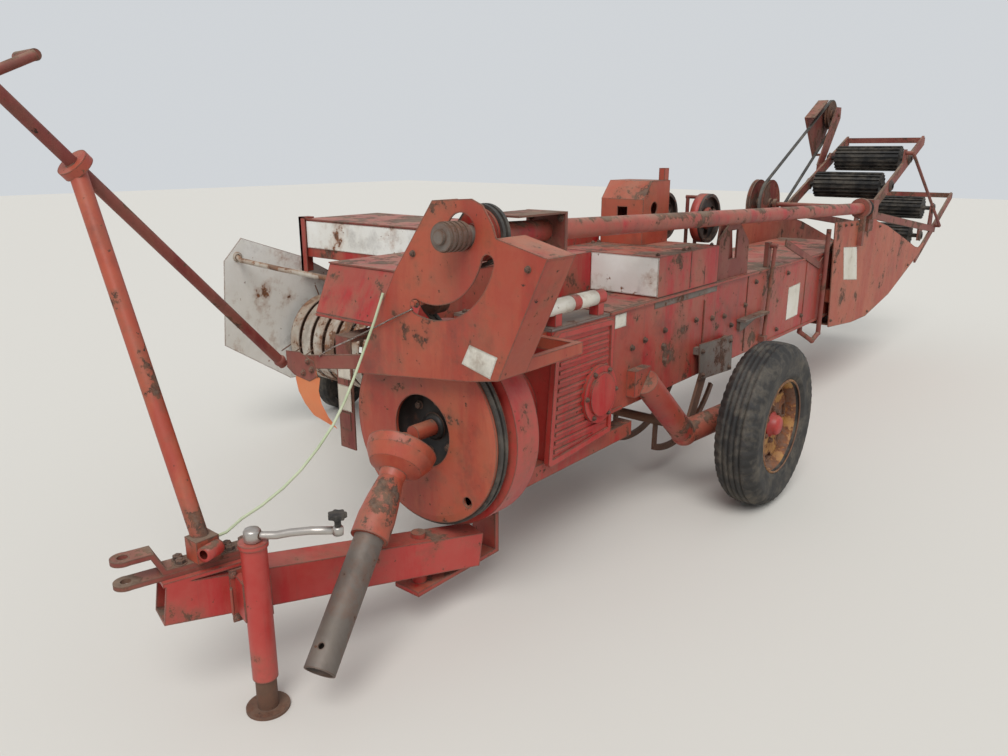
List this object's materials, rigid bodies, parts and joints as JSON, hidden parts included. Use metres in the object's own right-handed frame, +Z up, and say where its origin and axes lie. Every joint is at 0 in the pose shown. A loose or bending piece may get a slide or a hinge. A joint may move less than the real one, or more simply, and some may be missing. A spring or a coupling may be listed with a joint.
{
  "type": "square baler",
  "caption": "Pull-type square baler with a windrow pickup on one side, a belt-driven roller bale thrower at the rear, and a swinging tongue on a screw jack.",
  "frame": {"origin": "centre of the hitch pin hole, midway between the two hitch straps", "axes": "+X to the machine's left, +Y to the rear, +Z up"},
  "size_m": [2.715, 7.3523, 1.9264],
  "materials": {
    "red_enamel": "satin",
    "dark_red": "matte",
    "white_enamel": "satin",
    "bare_steel": "matte",
    "rusty_steel": "matte",
    "black_rubber": "matte",
    "tyre": "matte",
    "rim_enamel": "satin",
    "rope": "matte"
  },
  "bodies": {
    "chassis": {"front_frame": "red_enamel", "bale_chamber": "red_enamel", "chamber_hood": "red_enamel", "slotted_mast": "red_enamel", "gearbox_housing": "red_enamel", "top_deck": "bare_steel", "deck_tube": "red_enamel", "belt_guard": "red_enamel", "tube_bearings": "red_enamel", "feeder_housing": "red_enamel", "white_panels": "white_enamel", "twine_box": "red_enamel", "front_brackets": "red_enamel", "left_axle": "red_enamel", "right_axle": "red_enamel", "drive_belts": "black_rubber", "thrower_shell": "red_enamel", "side_braces": "red_enamel", "side_plates": "bare_steel", "upper_frame": "red_enamel", "lower_frame": "red_enamel", "rear_belt_guard": "red_enamel", "knotter_frame": "rusty_steel", "knotter_drive_box": "red_enamel", "angle_gearbox": "red_enamel"},
    "tongue": {"tongue_beam": "red_enamel", "hitch_clevis": "dark_red", "control_post": "red_enamel", "control_rod": "red_enamel", "jack_tube": "red_enamel", "jack_crank": "bare_steel", "tie_rope": "rope"},
    "jack_leg": {"jack_leg": "rusty_steel"},
    "pto_shaft": {"pto_shaft": "red_enamel", "pto_tube": "rusty_steel"},
    "flywheel": {"flywheel": "red_enamel", "belt_sheave": "red_enamel"},
    "drive_tube": {"drive_tube": "red_enamel", "shaft_drum": "bare_steel"},
    "idler_pulley": {"idler_pulley": "rusty_steel"},
    "left_wheel": {"left_tyre": "tyre", "left_rim": "rim_enamel"},
    "right_wheel": {"right_tyre": "tyre", "right_rim": "rim_enamel"},
    "pickup": {"pickup_frame": "bare_steel", "pickup_shield": "white_enamel"},
    "pickup_reel": {"pickup_reel": "rusty_steel"},
    "roller_upper_rear": {"roller_upper_rear": "black_rubber"},
    "roller_upper_front": {"roller_upper_front": "black_rubber"},
    "roller_lower_rear": {"roller_lower_rear": "black_rubber"},
    "roller_lower_front": {"roller_lower_front": "black_rubber"},
    "gauge_wheel": {"gauge_wheel": "tyre"},
    "upper_pulley": {"upper_pulley": "rusty_steel"},
    "thrower_sheave": {"thrower_sheave": "rusty_steel"},
    "knotter_cams": {"knotter_cams": "rusty_steel"},
    "needle_yoke": {"needle_yoke": "rusty_steel"},
    "plunger": {"plunger": "bare_steel"},
    "twine_lid": {"twine_lid": "red_enamel"}
  },
  "joints": [
    {"name": "tongue_swing", "type": "hinge", "parent": "chassis", "child": "tongue", "pos_m": [0.225, 0.855, -0.223], "axis": [0, 0, 1], "range_deg": [0, 30]},
    {"name": "jack_lift", "type": "slide", "parent": "tongue", "child": "jack_leg", "axis": [0, 0, 1], "range_m": [-0.12, 0.09]},
    {"name": "pto_fold", "type": "hinge", "parent": "tongue", "child": "pto_shaft", "pos_m": [0.175, 0.851, 0.15], "axis": [-0.8577, -0.1596, 0.4887], "range_deg": [0, 30]},
    {"name": "flywheel_spin", "type": "hinge", "parent": "chassis", "child": "flywheel", "pos_m": [0.175, 1.005, 0.176], "axis": [0, 1, 0], "continuous": true},
    {"name": "drive_tube_spin", "type": "hinge", "parent": "chassis", "child": "drive_tube", "pos_m": [0.425, 0.905, 0.835], "axis": [0, 0.9995, -0.0326], "continuous": true},
    {"name": "left_wheel_spin", "type": "hinge", "parent": "chassis", "child": "left_wheel", "pos_m": [0.715, 2.555, -0.11], "axis": [1, 0, 0], "continuous": true},
    {"name": "right_wheel_spin", "type": "hinge", "parent": "chassis", "child": "right_wheel", "pos_m": [-1.625, 2.665, -0.14], "axis": [1, 0, 0], "continuous": true},
    {"name": "pickup_lift", "type": "hinge", "parent": "chassis", "child": "pickup", "pos_m": [-0.975, 2.405, 0.28], "axis": [-1, 0, 0], "range_deg": [0, 12]},
    {"name": "gauge_wheel_spin", "type": "hinge", "parent": "pickup", "child": "gauge_wheel", "pos_m": [-1.855, 2.235, -0.31], "axis": [1, 0, 0], "continuous": true},
    {"name": "reel_spin", "type": "hinge", "parent": "pickup", "child": "pickup_reel", "pos_m": [-0.975, 2.015, 0.04], "axis": [1, 0, 0], "continuous": true},
    {"name": "roller_upper_rear_spin", "type": "hinge", "parent": "chassis", "child": "roller_upper_rear", "pos_m": [0.125, 5.725, 1.01], "axis": [1, 0, 0], "continuous": true},
    {"name": "roller_upper_front_spin", "type": "hinge", "parent": "chassis", "child": "roller_upper_front", "pos_m": [0.125, 5.315, 0.83], "axis": [1, 0, 0], "continuous": true},
    {"name": "roller_lower_rear_spin", "type": "hinge", "parent": "chassis", "child": "roller_lower_rear", "pos_m": [0.125, 6.615, 0.61], "axis": [1, 0, 0], "continuous": true},
    {"name": "roller_lower_front_spin", "type": "hinge", "parent": "chassis", "child": "roller_lower_front", "pos_m": [0.125, 6.305, 0.41], "axis": [1, 0, 0], "continuous": true},
    {"name": "thrower_sheave_spin", "type": "hinge", "parent": "chassis", "child": "thrower_sheave", "pos_m": [0.125, 4.795, 0.707], "axis": [1, 0, 0], "continuous": true},
    {"name": "upper_pulley_spin", "type": "hinge", "parent": "chassis", "child": "upper_pulley", "pos_m": [-0.223, 5.895, 1.332], "axis": [1, 0, 0], "continuous": true},
    {"name": "idler_spin", "type": "hinge", "parent": "chassis", "child": "idler_pulley", "pos_m": [0.221, 0.965, 0.618], "axis": [0, 1, 0], "continuous": true},
    {"name": "knotter_spin", "type": "hinge", "parent": "chassis", "child": "knotter_cams", "pos_m": [0.125, 2.805, 0.756], "axis": [1, 0, 0], "continuous": true},
    {"name": "needle_swing", "type": "hinge", "parent": "chassis", "child": "needle_yoke", "pos_m": [0.125, 2.6, 0.16], "axis": [1, 0, 0], "range_deg": [0, 94]},
    {"name": "plunger_stroke", "type": "slide", "parent": "chassis", "child": "plunger", "axis": [0, 1, 0], "range_m": [0, 0.76]},
    {"name": "twine_lid_hinge", "type": "hinge", "parent": "chassis", "child": "twine_lid", "pos_m": [-0.36, 1.733, 0.631], "axis": [-1, 0, 0], "range_deg": [0, 80]}
  ],
  "couplings": [
    {"joint": "drive_tube_spin", "follows": "flywheel_spin", "ratio": 4.1}
  ]
}
